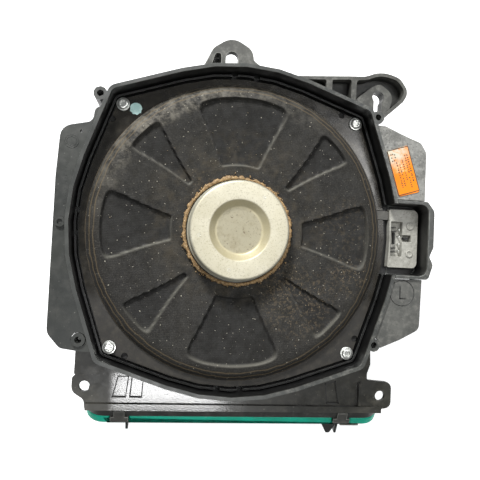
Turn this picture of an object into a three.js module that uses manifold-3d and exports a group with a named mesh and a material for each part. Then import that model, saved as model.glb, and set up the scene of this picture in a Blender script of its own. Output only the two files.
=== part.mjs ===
// Car subwoofer in a shallow plastic housing, lying on its back.
// Millimetres. X to the right, Y away from the port, Z up out of the motor side.
// The origin is on the driver's axis, in the housing's flat rear face.

import * as THREE from 'three';
import { mergeVertices } from 'three/addons/utils/BufferGeometryUtils.js';
import Module from 'manifold-3d';

const wasm = await Module();
wasm.setup();

// Heights above the rear face
const shellTop = 51.7;
const apronTop = 56;
const seatTop = 62;
const flangeTop = 66;
const wingTop = 80;
const rimTop = 82;
const cupTop = 84;

// Rim: a square with bowed sides. Its corner and the slope of its sides drive every ring round the driver.
const rimCorner = 95;
const rimSlope = THREE.MathUtils.degToRad(19);
const rimBowRadius = 142;
const rimCornerRadius = 8;
const rimWall = 2.5;
const ribOffset = -3.7;
const ribWall = 1.3;
const flangeOffset = -6.2;

// Housing
const wingSkin = 2.5;
const wingSkirt = 64;
const bossRadius = 4.8;
const bossHole = 2.3;
const bossPlaces = [[-101, 89], [99, 89], [102, -78], [-106, -80]];
const shellFloor = 3;
const shellWall = 2.5;
const seatHole = 99;
const fitGap = 0.3;

// Port
const portCentre = [9, -127.2, 29.5];
const portTilt = 117;
const portWidth = 226;
const portHeight = 52;
const portCorner = 14;
const ductLeft = -97.5;
const ductRight = 106;
const ductFloor = 9.5;
const ductTop = 49.5;
const ductWall = 2.5;
const portFlange = 5.6;
const sealWidth = 8;
const sealDepth = 7;
const clipPlaces = [-87.5, 81];
const clipReach = 4.6;

// Driver
const clothRadius = 108.5;
const cupRadius = 35.7;
const dishGap = 0.3;
const clothThick = 0.9;
const sheetSteel = 1.2;
const screwPlace = 86.9;
const screwCorners = [[-1, 1], [1, 1], [1, -1], [-1, -1]].map(([x, y]) => [x * screwPlace, y * screwPlace]);
const flangeHoles = [[-94, 76], [76, 93], [93, -76], [-76, -93]];
const coneNeck = [29.9, 34];
const coneEdge = [86.5, 59];

const plasticBlack = { color: 0x1b1c1d, roughness: 0.55, metalness: 0 };
const plasticGrey = { color: 0x4a4c4b, roughness: 0.7, metalness: 0 };
const steelBlack = { color: 0x15140f, roughness: 0.4, metalness: 0.3 };
const steelZinc = { color: 0xc9c2a2, roughness: 0.35, metalness: 0.9 };
const sealGreen = { color: 0x14a078, roughness: 0.45, metalness: 0 };
const foamDark = { color: 0x202020, roughness: 0.95, metalness: 0 };
const clothBlack = { color: 0x121211, roughness: 0.95, metalness: 0 };
const glueBrown = { color: 0x8a6a3a, roughness: 0.9, metalness: 0 };
const labelOrange = { color: 0xf29a1f, roughness: 0.5, metalness: 0 };
const paintMint = { color: 0x9fd6cf, roughness: 0.6, metalness: 0 };
const paperBlack = { color: 0x191919, roughness: 0.9, metalness: 0 };
const rubberBlack = { color: 0x101010, roughness: 0.7, metalness: 0 };
const spiderTan = { color: 0xb08a4a, roughness: 0.9, metalness: 0 };
const formerAluminium = { color: 0xb8babc, roughness: 0.4, metalness: 0.9 };
const copper = { color: 0xb06a3a, roughness: 0.4, metalness: 0.9 };

const group = new THREE.Group();

// Solids

function toSolid(geometry) {
  const bare = geometry.clone();
  bare.deleteAttribute('normal');
  bare.deleteAttribute('uv');
  const merged = mergeVertices(bare, 1e-4);
  return new wasm.Manifold(new wasm.Mesh({
    numProp: 3,
    vertProperties: Float32Array.from(merged.attributes.position.array),
    triVerts: Uint32Array.from(merged.index.array),
  }));
}

function toGeometry(solid) {
  const mesh = solid.getMesh();
  const geometry = new THREE.BufferGeometry();
  geometry.setAttribute('position', new THREE.BufferAttribute(mesh.vertProperties, 3));
  geometry.setIndex(new THREE.BufferAttribute(mesh.triVerts, 1));
  geometry.computeVertexNormals();
  return geometry;
}

function join(...solids) {
  return solids.reduce((whole, next) => whole.add(next));
}

function cut(solid, ...tools) {
  return tools.reduce((rest, tool) => rest.subtract(tool), solid);
}

function piece(name, solid, look, parent = group) {
  const mesh = new THREE.Mesh(toGeometry(solid), new THREE.MeshStandardMaterial(look));
  mesh.name = name;
  parent.add(mesh);
  return mesh;
}

// An outline through corners [x, y, radius], each rounded by an arc unless the arc would be tiny.
const leastArc = 0.6;

function roundedShape(corners) {
  const shape = new THREE.Shape();
  corners.forEach(([x, y, radius = 0], i) => {
    const corner = new THREE.Vector2(x, y);
    const before = new THREE.Vector2(...corners.at(i - 1)).sub(corner).normalize();
    const after = new THREE.Vector2(...corners[(i + 1) % corners.length]).sub(corner).normalize();
    const turn = before.cross(after);
    const half = Math.acos(THREE.MathUtils.clamp(before.dot(after), -1, 1)) / 2;
    if (radius / Math.tan(half) < leastArc) {
      if (i === 0) shape.moveTo(x, y);
      shape.lineTo(x, y);
      return;
    }
    const centre = before.clone().add(after).normalize().multiplyScalar(radius / Math.sin(half)).add(corner);
    const reach = radius / Math.tan(half);
    const start = before.clone().multiplyScalar(reach).add(corner).sub(centre);
    const end = after.clone().multiplyScalar(reach).add(corner).sub(centre);
    if (i === 0) shape.moveTo(centre.x + start.x, centre.y + start.y);
    shape.absarc(centre.x, centre.y, radius, start.angle(), end.angle(), turn > 0);
  });
  shape.closePath();
  return shape;
}

function prism(shape, bottom, top, curveSegments = 2) {
  const depth = top - bottom;
  const geometry = new THREE.ExtrudeGeometry(shape, { depth, bevelEnabled: false, curveSegments });
  return toSolid(geometry.translate(0, 0, bottom));
}

function plate(corners, bottom, top, curveSegments) {
  return prism(roundedShape(corners), bottom, top, curveSegments);
}

function block(x0, x1, y0, y1, z0, z1) {
  const geometry = new THREE.BoxGeometry(x1 - x0, y1 - y0, z1 - z0);
  return toSolid(geometry.translate((x0 + x1) / 2, (y0 + y1) / 2, (z0 + z1) / 2));
}

function rod(x, y, radius, bottom, top, sides = 10) {
  const geometry = new THREE.CylinderGeometry(radius, radius, top - bottom, sides);
  return toSolid(geometry.rotateX(Math.PI / 2).translate(x, y, (bottom + top) / 2));
}

// A turned part: profile points are [radius, height].
function turned(profile, segments = 24) {
  const points = profile.map(([r, z]) => new THREE.Vector2(r, z));
  if (THREE.ShapeUtils.area(points) < 0) points.reverse();
  if (points[0].x !== 0 || points.at(-1).x !== 0) points.push(points[0].clone());
  return toSolid(new THREE.LatheGeometry(points, segments).rotateX(Math.PI / 2));
}

function ringPrism(outer, inner, bottom, top, curveSegments) {
  return cut(prism(outer, bottom, top, curveSegments), prism(inner, bottom - 1, top + 1, curveSegments));
}

// A wire or cord section swept along points.
function swept(points, radius, steps, sides = 8) {
  const section = new THREE.Shape();
  for (let i = 0; i < sides; i += 1) {
    const angle = (i / sides) * 2 * Math.PI;
    section[i ? 'lineTo' : 'moveTo'](radius * Math.cos(angle), radius * Math.sin(angle));
  }
  section.closePath();
  const path = new THREE.CatmullRomCurve3(points.map((p) => new THREE.Vector3(...p)));
  return toSolid(new THREE.ExtrudeGeometry(section, { steps, extrudePath: path, bevelEnabled: false }));
}

// Outlines

function rimShape(offset) {
  const apex = rimCorner * (1 + Math.tan(rimSlope)) + offset / Math.cos(rimSlope);
  const corner = rimCorner + offset / (Math.cos(rimSlope) + Math.sin(rimSlope));
  const bow = rimBowRadius + offset;
  const cornerRadius = Math.max(rimCornerRadius + offset, 2);
  return roundedShape([
    [apex, 0, bow], [corner, corner, cornerRadius], [0, apex, bow], [-corner, corner, cornerRadius],
    [-apex, 0, bow], [-corner, -corner, cornerRadius], [0, -apex, bow], [corner, -corner, cornerRadius],
  ]);
}

// One of the basket's eight openings: angles in degrees, sides nearly radial.
function windowShape(centre, outerHalf, innerHalf, grow = 0) {
  const outerRadius = 98 + grow;
  const innerRadius = 48 - grow;
  const at = (radius, degrees) => {
    const angle = THREE.MathUtils.degToRad(centre + degrees);
    return [radius * Math.cos(angle), radius * Math.sin(angle)];
  };
  const outer = [-1, -0.5, 0, 0.5, 1].map((part) => at(outerRadius, part * outerHalf));
  const inner = [at(innerRadius, innerHalf), at(innerRadius, -innerHalf)];
  const round = outerHalf / 2.5;
  const corners = [...outer, ...inner].map(([x, y], i) => [x, y, [round, 0, 0, 0, round, 2, 2][i]]);
  return roundedShape(corners);
}

// Front frame

const leftWing = [
  [-96, 80, 0], [-104, 80, 4], [-105, 69.5, 5], [-126, 64.5, 9], [-127.5, 30, 0], [-127, -76, 9],
  [-118, -86, 6], [-104, -88, 3], [-92, -88, 0],
];
const rightUpperPlate = [
  [93, 84, 0], [106, 83.5, 3], [121, 77.5, 8], [134, 73, 5], [138.5, 66, 7], [138.5, 27, 0], [110, 27, 0],
];
const rightLowerPlate = [
  [108, -27, 0], [138, -27, 0], [137, -66, 6], [122, -74, 8], [108, -80, 4], [96, -80, 0],
];
const bayOutline = [
  [104, 29, 0], [140, 29, 3], [145.5, 22, 6], [145.5, -5, 2], [142.5, -12, 2], [145.5, -18, 4], [142, -29, 3],
  [104, -29, 0],
];
const bayInside = [[100, 26.4, 0], [141, 26.4, 6], [141, -26.4, 6], [100, -26.4, 0]];

// A plate with a skirt, hollow from below.
function skirtedPlate(corners, centre, bottom, top) {
  const [middleX, middleY] = centre;
  const inner = corners.map(([x, y, r]) => [middleX + (x - middleX) * 0.9, middleY + (y - middleY) * 0.95, r]);
  return cut(plate(corners, bottom, top, 2), plate(inner, bottom - 1, top - wingSkin, 2));
}

function topLug() {
  const outline = [
    [-34, 112, 0], [-24.5, 133, 8], [-11, 142.5, 13], [4.5, 134, 9], [6, 126, 3], [12, 122, 2], [14, 112, 0],
  ];
  const pocket = [[-27, 112, 0], [-22.5, 129, 1.5], [-18.5, 129, 1.5], [-18.5, 112, 0]];
  const slot = [[-15, 108, 0], [-15, 131, 4.3], [-6, 131, 4.3], [-6, 108, 0]];
  const hollow = [[-17, 100, 0], [-17, 134, 4], [2, 134, 4], [2, 100, 0]];
  return cut(
    plate(outline, 60, 72, 3),
    plate(pocket, 63, 73, 1),
    plate(slot, 50, 80, 4),
    plate(hollow, 50, 66, 2),
  );
}

function cornerBracket() {
  const outline = [
    [34, 106, 0], [38, 118.5, 2], [84, 122.5, 2], [93, 123, 20], [104, 128.5, 24], [120, 124.5, 12],
    [127.5, 114, 8], [123, 106, 6], [109, 93, 0], [96, 88, 0],
  ];
  const pad = [[84, 104, 4], [99, 116.5, 0], [105, 119.5, 5], [116.5, 112, 9], [112, 96, 4], [98, 92, 3]];
  const pockets = [
    [[40, 108, 0], [41, 116.3, 1.5], [62, 118, 1.5], [62, 101, 0]],
    [[66.5, 99, 0], [66.5, 118.4, 1.5], [81.5, 119.8, 1.5], [81.5, 94, 0]],
    [
      [85.5, 92, 0], [85.5, 120, 3], [94, 120.5, 18], [104, 125.8, 21], [118.5, 122.3, 10], [124.5, 114, 6],
      [120.5, 107, 5], [110, 97.5, 0], [100, 90, 0],
    ],
  ];
  const keyhole = [[100.6, 94.5, 2], [107.4, 94.5, 2], [107.4, 108, 0], [100.6, 108, 0]];
  const shell = cut(plate(outline, 58, 70, 3), ...pockets.map((corners) => plate(corners, 60.5, 71, 2)));
  return cut(join(shell, plate(pad, 60, 67.5, 3)), plate(keyhole, 50, 80, 2), rod(104, 109, 4.7, 50, 80, 12));
}

// The lower deck between the rim and the port, with the two lower ears.
function apron() {
  const deck = [
    [-111, -84, 0], [-111, -109, 0], [-113, -111, 2], [-113, -121, 7], [-104, -126.5, 5], [-103, -134, 2],
    [120, -134, 2], [120.5, -131, 1], [128, -130, 5], [128, -110.5, 5], [108, -109, 2], [108, -104, 2],
    [110.5, -97, 3], [109.5, -80, 0],
  ];
  const frames = [
    [[-80.5, -109.5, 1], [-73, -109.5, 1], [-74.5, -124.5, 1], [-84, -124.5, 1]],
    [[-70.5, -109.5, 1], [-62.5, -112.5, 1], [-63, -124.5, 1], [-71.5, -124.5, 1]],
    [[75, -112.5, 1], [83, -110.5, 1], [86, -127, 1], [76.5, -127, 1]],
  ];
  return cut(
    join(
      plate(deck, 52.8, apronTop, 2),
      block(-111, -80.5, -107.5, -84, 53, 60),
      block(-102.5, 119.5, -133.6, -129, 53.6, 58.5),
      block(100.5, 102.5, -128, -111, 53, 60),
    ),
    ...frames.map((corners) => plate(corners, apronTop - 1.2, apronTop + 5, 1)),
    rod(-104, -117, 3.9, 40, 70, 12),
    rod(119, -121, 3.9, 40, 70, 12),
    tilted(prism(mouthShape(0.4), -portFlange - 0.4, 30, 3)),
  );
}

// Breaks in the locating rib, each a pair of slits with a short stub between them.
function ribBreaks() {
  const slits = [];
  for (const side of [0, 1, 2, 3]) {
    for (const along of [-7.4, 9.2]) {
      const slit = block(-2, 2, 112.5, 115.9, seatTop + 0.4, seatTop + 10).translate([along, 0, 0]);
      slits.push(slit.rotate([0, 0, 90 * side]));
    }
  }
  return slits;
}

function screwBoss(x, y) {
  return cut(rod(x, y, bossRadius, 53.4, rimTop - 0.5), prism(rimShape(-1), 40, 90));
}

// A member outside the rim: trimmed clear of the rim's wall and of the screw bosses.
function besideRim(solid) {
  const bosses = bossPlaces.map(([x, y]) => rod(x, y, bossRadius + fitGap, 40, 90, 16));
  const trimmed = cut(solid, prism(rimShape(fitGap), 40, 90), ...bosses);
  return trimmed.decompose().sort((a, b) => b.volume() - a.volume())[0];
}

function frontFrame() {
  const wall = ringPrism(rimShape(0), rimShape(-rimWall), 52.3, rimTop);
  const seat = cut(prism(rimShape(-1), seatTop - 3, seatTop), rod(0, 0, seatHole, 50, 70, 24));
  const rib = ringPrism(rimShape(ribOffset), rimShape(ribOffset - ribWall), seatTop - 1, seatTop + 7);
  const bosses = bossPlaces.slice(0, 3).map(([x, y]) => screwBoss(x, y));
  return cut(
    join(wall, seat, rib, ...bosses),
    block(90, 125, -26.4, 26.4, seatTop, rimTop + 1),
    ...ribBreaks(),
    ...bossPlaces.map(([x, y]) => rod(x, y, bossHole, 40, 90, 16)),
    ...screwCorners.map(([x, y]) => rod(x, y, 1.6, 50, 70, 8)),
  );
}

function wing() {
  const pin = rod(-122.5, -1, 3.4, wingTop - 2, wingTop + 2, 16);
  const [bossX, bossY] = bossPlaces[3];
  const plain = besideRim(join(skirtedPlate(leftWing, [-108, -10], wingSkirt, wingTop), pin));
  const web = block(-118, bossX, -84.5, -81.5, wingSkirt + 1, wingTop - 1);
  return cut(
    join(plain, web, screwBoss(bossX, bossY)),
    rod(bossX, bossY, bossHole, 40, 90, 16),
    rod(-122.5, -1, 2, wingTop + 0.5, wingTop + 4, 12),
    rod(-112, 62, 1.2, 60, 90, 12),
  );
}

function rightPlate(corners, centre) {
  const besideBay = block(90, 150, -29 - fitGap, 29 + fitGap, 40, 90);
  return besideRim(cut(skirtedPlate(corners, centre, wingSkirt, wingTop), besideBay));
}

function connectorBay() {
  return besideRim(cut(plate(bayOutline, seatTop - 3, rimTop, 2), plate(bayInside, seatTop, rimTop + 1, 2)));
}

// Rear shell

const shellFoot = -107.5;

function shellBody(inset) {
  const round = prism(rimShape(-inset), 0, shellTop);
  const kept = round.intersect(block(-200, 200, shellFoot + inset, 200, 0, shellTop));
  return join(kept, block(-101 + inset, 109.5 - inset, shellFoot + inset, -84 - inset, 0, shellTop));
}

function rearPockets() {
  return [0, 1, 2, 3, 4, 5, 6, 7].map((i) => prism(windowShape(45 * i, 17, 9), -1, 1.2, 1));
}

function rearShell() {
  const inside = shellBody(0.5 + shellWall).translate([0, 0, shellFloor]);
  const ears = bossPlaces.map(([x, y]) => {
    const web = block(-7, 0, -2, 2, 38, shellTop).rotate([0, 0, THREE.MathUtils.radToDeg(Math.atan2(y, x))]);
    return join(rod(x, y, bossRadius + 0.6, 38, shellTop), web.translate([x, y, 0]));
  });
  return cut(
    cut(join(shellBody(0.5), ...ears), inside),
    block(ductLeft - 0.3, ductRight + 0.3, -125, -104, ductFloor - 0.3, ductTop + 0.3),
    ...rearPockets(),
    ...bossPlaces.map(([x, y]) => rod(x, y, bossHole, 30, 60)),
    ...bossPlaces.map(([x, y]) => rod(x, y, bossRadius - 0.9, 37, 42)),
  );
}

function shellScrew([x, y]) {
  const socket = rod(x, y, 1.5, 38, 40, 6);
  return cut(join(rod(x, y, 3.4, 38.4, 41.6, 12), rod(x, y, 1.9, 41, 72, 8)), socket);
}

// Port

// From the mouth's own axes (X across, Y up the tilted mouth, Z out of it) to the part's.
function tilted(solid) {
  return solid.rotate([portTilt, 0, 0]).translate(portCentre);
}

function mouthShape(grow) {
  const x = portWidth / 2 + grow;
  const y = portHeight / 2 + grow;
  const radius = portCorner + grow;
  return roundedShape([[x, y, radius], [-x, y, radius], [-x, -y, radius], [x, -y, radius]]);
}

function portDuct() {
  const [boreLeft, boreRight] = [ductLeft + ductWall, ductRight - ductWall];
  const bore = block(boreLeft, boreRight, -160, -90, ductFloor + ductWall, ductTop - ductWall);
  const beyondMouth = tilted(block(-200, 200, -90, 90, -4, 90));
  const tube = cut(block(ductLeft, ductRight, -150, -103, ductFloor, ductTop), bore, beyondMouth);
  const flange = tilted(prism(mouthShape(0), -portFlange, 0, 3));
  const counterbore = tilted(prism(mouthShape(-sealWidth), -3.4, 1, 3));
  return join(tube, cut(flange, bore, counterbore));
}

function portSeal() {
  const ring = ringPrism(mouthShape(0), mouthShape(-sealWidth), 0.3, sealDepth, 3);
  return cut(tilted(ring), ...clipPlaces.map((x) => tilted(block(x - 7, x + 7, 23, 40, -1, clipReach + 0.4))));
}

// Tabs that reach over the seal's outer edge and hold it down; the seal is notched for them.
function sealClip(x) {
  const edge = portHeight / 2;
  return tilted(join(
    block(x - 6.6, x + 6.6, edge - 2.7, edge + 1.4, 0.3, clipReach),
    block(x - 4, x + 4, edge + 0.3, edge + 1.4, 0.3 - portFlange, 0.4),
  ));
}

function guidePin(x, reach) {
  return tilted(block(x - 1, x + 1, 12, 17, -3, reach));
}

function guideFin(x) {
  const outline = roundedShape([[-7, -3, 0], [6, -3, 0], [6, 18, 1], [3, 25, 1], [0, 25, 1], [-7, 12, 1]]);
  return tilted(prism(outline, 0, 3, 1).rotate([90, 0, 0]).translate([x, 17, 0]));
}

function springPlate(x) {
  const blade = block(x - 7.6, x + 7.6, 15.6, 17, -3, 17);
  const hole = rod(0, 0, 1.2, -5, 5, 10).rotate([90, 0, 0]).translate([x + 4, 16.3, 12]);
  return tilted(cut(blade, hole));
}

// Driver

const clothLine = [
  [clothRadius, 67.3], [106.5, 69.9], [103, 72.3], [98, 73.3], [88, 72.5], [70, 70.2], [50, 67.9], [37.6, 67.2],
];

// A copy of a profile line, which runs inwards, moved down square to itself.
function offsetLine(line, distance) {
  return line.map(([r, z], i) => {
    const from = line[Math.max(i - 1, 0)];
    const to = line[Math.min(i + 1, line.length - 1)];
    const run = new THREE.Vector2(to[0] - from[0], to[1] - from[1]).normalize();
    return [r - run.y * distance, z + run.x * distance];
  });
}

function sheet(line, thick, segments) {
  return turned([...line, ...offsetLine(line, thick).reverse()], segments);
}

// The basket's openings: [middle, half width at the rim, half width at the hub], in degrees.
const windows = [
  [0, 16, 11], [43, 9, 3], [90, 22, 17], [137, 9, 3], [180, 16, 11], [223, 9, 3], [270, 22, 17], [317, 9, 3],
];

function basket() {
  const dishLine = [...offsetLine(clothLine, clothThick + dishGap).slice(0, -1), [36.6, 66]];
  const collar = turned([[36.1, 60], [37.3, 60], [37.3, 66.2], [36.1, 66.2]]);
  const landing = turned([[52, 55.5], [57, 55.5], [57, 56.7], [53.2, 56.7], [53.2, 67], [52, 67]]);
  const flange = cut(prism(rimShape(flangeOffset), 64.3, flangeTop), rod(0, 0, 104, 60, 70, 24));
  return cut(
    join(sheet(dishLine, sheetSteel), collar, landing, flange),
    ...windows.map(([centre, outer, inner]) => prism(windowShape(centre, outer, inner), 60, 90, 1)),
    ...screwCorners.map(([x, y]) => rod(x, y, 2.2, 60, 70, 8)),
    ...flangeHoles.map(([x, y]) => rod(x, y, 2.5, 60, 70, 8)),
    block(99, 125, 14.8, 22.2, 64, 66.5),
  );
}

function flangeGasket() {
  return cut(
    prism(rimShape(flangeOffset), 62.3, 64),
    rod(0, 0, 106.4, 60, 70, 24),
    ...screwCorners.map(([x, y]) => rod(x, y, 2, 60, 70, 8)),
  );
}

function driverScrew(x, y) {
  const headLine = [[0, 66.4], [4.8, 66.4], [4.8, 67.2], [3.8, 67.3], [3.6, 69], [2.8, 69.6], [0, 69.6]];
  const head = turned(headLine, 12);
  const drive = rod(0, 0, 1.9, 68, 71, 6);
  return join(cut(head, drive), rod(0, 0, 1.4, 53, 67, 8)).translate([x, y, 0]);
}

function magnetCup() {
  return turned([
    [0, 79], [16.8, 79], [21.2, cupTop], [34.2, cupTop], [cupRadius, 82.4], [cupRadius, 71.2],
    [36.9, 70.6], [36.9, 69.4], [cupRadius, 68.8], [cupRadius, 62], [31.5, 62], [31.5, 80.6], [24, 80.6],
    [20.5, 75.8], [0, 75.8],
  ]);
}

function connectorPanel() {
  const outline = [[116.2, 23.5, 1], [139.4, 23.5, 4], [139.4, -21, 4], [115.8, -21, 1], [117, 0, 0]];
  const socket = [
    [118, 14, 0], [127, 14, 0], [127, 4, 0], [134, 4, 0], [134, -1, 0], [127, -1, 0], [127, -12.5, 0],
    [118, -12.5, 0],
  ];
  return cut(plate(outline, 62.3, 68, 2), plate(socket, 63.5, 70, 1), block(110, 124, 14.9, 22.1, 60, 66.3));
}

function terminalStrip() {
  return block(100, 123.5, 15.2, 21.8, 64.4, 65.9);
}

// Moving assembly

function surround() {
  const line = [
    [105.8, 63.9], [97.6, 63.9], [96.4, 59.6], [92.5, 57], [88.4, 60], [86.4, 61.5], [83, 60.1],
  ];
  return sheet(line, 1);
}

function spider() {
  const line = [[57, 55.1]];
  for (let i = 0; i <= 6; i += 1) {
    line.push([53 - i * 3.8, i % 2 ? 53.6 : 55]);
  }
  return sheet(line, 0.6, 20);
}

// Assembly

piece('front_frame', frontFrame(), plasticBlack);
piece('left_wing', wing(), plasticBlack);
piece('right_upper_plate', rightPlate(rightUpperPlate, [116, 50]), plasticBlack);
piece('right_lower_plate', rightPlate(rightLowerPlate, [116, -50]), plasticBlack);
piece('connector_bay', connectorBay(), plasticBlack);
piece('top_lug', besideRim(topLug()), plasticBlack);
piece('corner_bracket', besideRim(cornerBracket()), plasticBlack);
piece('apron', besideRim(apron()), plasticBlack);
piece('rear_shell', rearShell(), plasticBlack);
bossPlaces.forEach((place, i) => piece(`shell_screw_${i + 1}`, shellScrew(place), steelZinc));

piece('port_duct', portDuct(), plasticBlack);
piece('port_seal', portSeal(), sealGreen);
clipPlaces.forEach((x, i) => piece(`seal_clip_${i + 1}`, sealClip(x), plasticBlack));
piece('guide_pin_left', guidePin(-83, 22), plasticBlack);
piece('guide_pin_right', guidePin(82.6, 25), plasticBlack);
piece('guide_fin', guideFin(75), plasticBlack);
piece('spring_plate', springPlate(93), steelZinc);

piece('flange_gasket', flangeGasket(), foamDark);
piece('basket', basket(), steelBlack);
piece('basket_cloth', sheet(clothLine, clothThick), clothBlack);
piece('glue_ring', turned([[37.6, 67.9], [41.6, 68.2], [40.6, 69.9], [38.4, 70.6], [37.6, 70]]), glueBrown);
screwCorners.forEach(([x, y], i) => piece(`driver_screw_${i + 1}`, driverScrew(x, y), steelZinc));
piece('magnet_cup', magnetCup(), steelZinc);
piece('magnet', rod(0, 0, 20, 66.3, 75.5, 24), steelZinc);
piece('pole_plate', rod(0, 0, 28.2, 61, 66, 24), steelZinc);

piece('connector_panel', connectorPanel(), plasticGrey);
[-8, -3, 3, 8].forEach((y, i) => {
  piece(`contact_pin_${i + 1}`, block(124.6, 125.4, y - 0.5, y + 0.5, 63.8, 67), steelZinc);
});
[[133, 11], [133, -10]].forEach(([x, y], i) => {
  piece(`heat_stake_${i + 1}`, rod(x, y, 3, 68.3, 69, 16), plasticGrey);
});
piece('terminal_strip', terminalStrip(), plasticGrey);
const labelCorners = [[106.8, 64.5, 1.2], [123, 70.5, 1.2], [133.5, 36, 1.2], [117.4, 31.4, 1.2]];
piece('label', plate(labelCorners, 80.3, 80.6, 1), labelOrange);
piece('paint_mark', rod(-77.8, 84.6, 4.4, 66.3, 66.6, 14), paintMint);

piece('cone', sheet([coneEdge, coneNeck].map(([r, z]) => [r, z + 1.2]), sheetSteel), paperBlack);
piece('coil_former', turned([[28.9, 34.4], [29.5, 34.4], [29.5, 72], [28.9, 72]]), formerAluminium);
piece('voice_coil', turned([[29.8, 56.5], [30.8, 56.5], [30.8, 70.5], [29.8, 70.5]]), copper);
piece('dust_cap', sheet([[29.6, 34], [15, 31.4], [0, 30.6]], sheetSteel, 24), paperBlack);
piece('surround', surround(), rubberBlack);
piece('spider', spider(), spiderTan);

// Each terminal has its post, the loose lead to the cone's neck and the wire to the panel.
const leadTurn = 25;
const leadAngle = THREE.MathUtils.degToRad(leadTurn);
['black', 'red'].forEach((name, i) => {
  const side = i ? 1 : -1;
  const at = (r, z) => {
    const spot = new THREE.Vector2(r, side * 3).rotateAround(new THREE.Vector2(), leadAngle);
    return [spot.x, spot.y, z];
  };
  const post = block(58, 62, -1.6, 1.6, 57.6, 65.5).rotate([0, 0, leadTurn]).translate(at(0, 0));
  const loose = [at(31.4, 46), at(40, 48.6), at(50, 51), at(57.5, 52.4), at(60, 54.4), at(60, 57.2)];
  const wire = [
    at(62.6, 65.6), at(70, 66.5), at(84, 68.2), at(92, 68.8), [96.5, 29 + side * 2.5, 68.5],
    [99.6, 22 + side * 2.5, 67.4], [101, 18.5 + side * 1.7, 66.9],
  ];
  piece(`terminal_post_${name}`, post, steelZinc);
  piece(`tinsel_lead_${name}`, swept(loose, 0.5, 10, 5), copper);
  piece(`lead_wire_${name}`, swept(wire, 0.7, 14, 6), copper);
});

export default group;
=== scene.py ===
import math
import random

import bpy
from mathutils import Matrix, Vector, noise


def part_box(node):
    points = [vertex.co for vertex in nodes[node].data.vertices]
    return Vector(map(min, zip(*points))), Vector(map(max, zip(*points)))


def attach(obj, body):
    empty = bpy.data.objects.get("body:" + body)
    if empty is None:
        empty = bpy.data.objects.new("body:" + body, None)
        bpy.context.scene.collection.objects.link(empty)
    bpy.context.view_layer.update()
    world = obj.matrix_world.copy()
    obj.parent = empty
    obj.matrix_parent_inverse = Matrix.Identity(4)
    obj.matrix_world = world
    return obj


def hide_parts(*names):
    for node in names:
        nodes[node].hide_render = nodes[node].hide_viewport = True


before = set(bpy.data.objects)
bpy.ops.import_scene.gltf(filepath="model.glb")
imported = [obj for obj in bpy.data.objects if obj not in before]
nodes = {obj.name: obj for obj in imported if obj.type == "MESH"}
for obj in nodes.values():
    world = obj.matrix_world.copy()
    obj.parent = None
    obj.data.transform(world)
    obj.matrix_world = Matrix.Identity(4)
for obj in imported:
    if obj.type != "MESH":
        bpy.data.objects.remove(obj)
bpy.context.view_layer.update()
mm = 0.001
random.seed(7)


# small helpers

def deselectAll():
    if bpy.context.mode != "OBJECT":
        bpy.ops.object.mode_set(mode="OBJECT")
    bpy.ops.object.select_all(action="DESELECT")


def pick(piece):
    deselectAll()
    piece.select_set(True)
    bpy.context.view_layer.objects.active = piece


def applyAll(piece):
    pick(piece)
    for modifier in list(piece.modifiers):
        bpy.ops.object.modifier_apply(modifier=modifier.name)


def settle(piece):
    pick(piece)
    bpy.ops.object.transform_apply(location=True, rotation=True, scale=True)


def smooth(piece, degrees=32):
    pick(piece)
    bpy.ops.object.shade_smooth_by_angle(angle=math.radians(degrees))


def dress(piece, *finishes):
    piece.data.materials.clear()
    for finish in finishes:
        piece.data.materials.append(finish)


def fit(piece, standsFor=()):
    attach(piece, "housing")
    if standsFor:
        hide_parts(*standsFor)


def complete(piece, finishName, standsFor=(), degrees=0):
    dress(piece, look[finishName])
    if degrees:
        smooth(piece, degrees)
    fit(piece, standsFor)


# merges points that lie together and points the faces outwards
def mended(piece, within):
    pick(piece)
    bpy.ops.object.mode_set(mode="EDIT")
    bpy.ops.mesh.select_all(action="SELECT")
    bpy.ops.mesh.remove_doubles(threshold=within * mm)
    bpy.ops.mesh.normals_make_consistent(inside=False)
    bpy.ops.object.mode_set(mode="OBJECT")


def joined(name, pieces):
    deselectAll()
    for piece in pieces:
        piece.select_set(True)
    bpy.context.view_layer.objects.active = pieces[0]
    bpy.ops.object.join()
    whole = bpy.context.active_object
    whole.name = name
    settle(whole)
    return whole


def bevelled(piece, width, steps=2, degrees=30, edgeSlot=0):
    pick(piece)
    bpy.ops.object.modifier_add(type="BEVEL")
    bevel = piece.modifiers[-1]
    bevel.width = width * mm
    bevel.segments = steps
    bevel.limit_method = "ANGLE"
    bevel.angle_limit = math.radians(degrees)
    bevel.use_clamp_overlap = True
    bevel.miter_outer = "MITER_SHARP"
    bevel.material = edgeSlot
    applyAll(piece)


# points nearer together than this, in mm, are merged; on a copied node that keeps the bevel wide
mergeWithin = {"copiedNode": 0.3, "turnedPiece": 0.002, "cupHalves": 0.01}


# a node's shape with its edges bevelled; a second finish goes on the bevels
def softenedCopy(node, name, edge, steps, finishes, degrees=30):
    mesh = nodes[node].data.copy()
    piece = bpy.data.objects.new(name, mesh)
    bpy.context.scene.collection.objects.link(piece)
    dress(piece, *finishes)
    pick(piece)
    bpy.ops.mesh.customdata_custom_splitnormals_clear()
    bpy.ops.object.mode_set(mode="EDIT")
    bpy.ops.mesh.select_all(action="SELECT")
    bpy.ops.mesh.remove_doubles(threshold=mergeWithin["copiedNode"] * mm)
    bpy.ops.mesh.dissolve_limited(angle_limit=math.radians(0.5))
    bpy.ops.mesh.normals_make_consistent(inside=False)
    bpy.ops.object.mode_set(mode="OBJECT")
    bevelled(piece, edge, steps, degrees, 1 if len(finishes) > 1 else 0)
    smooth(piece)
    bpy.ops.object.modifier_add(type="WEIGHTED_NORMAL")
    piece.modifiers[-1].keep_sharp = True
    applyAll(piece)
    return piece


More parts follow.
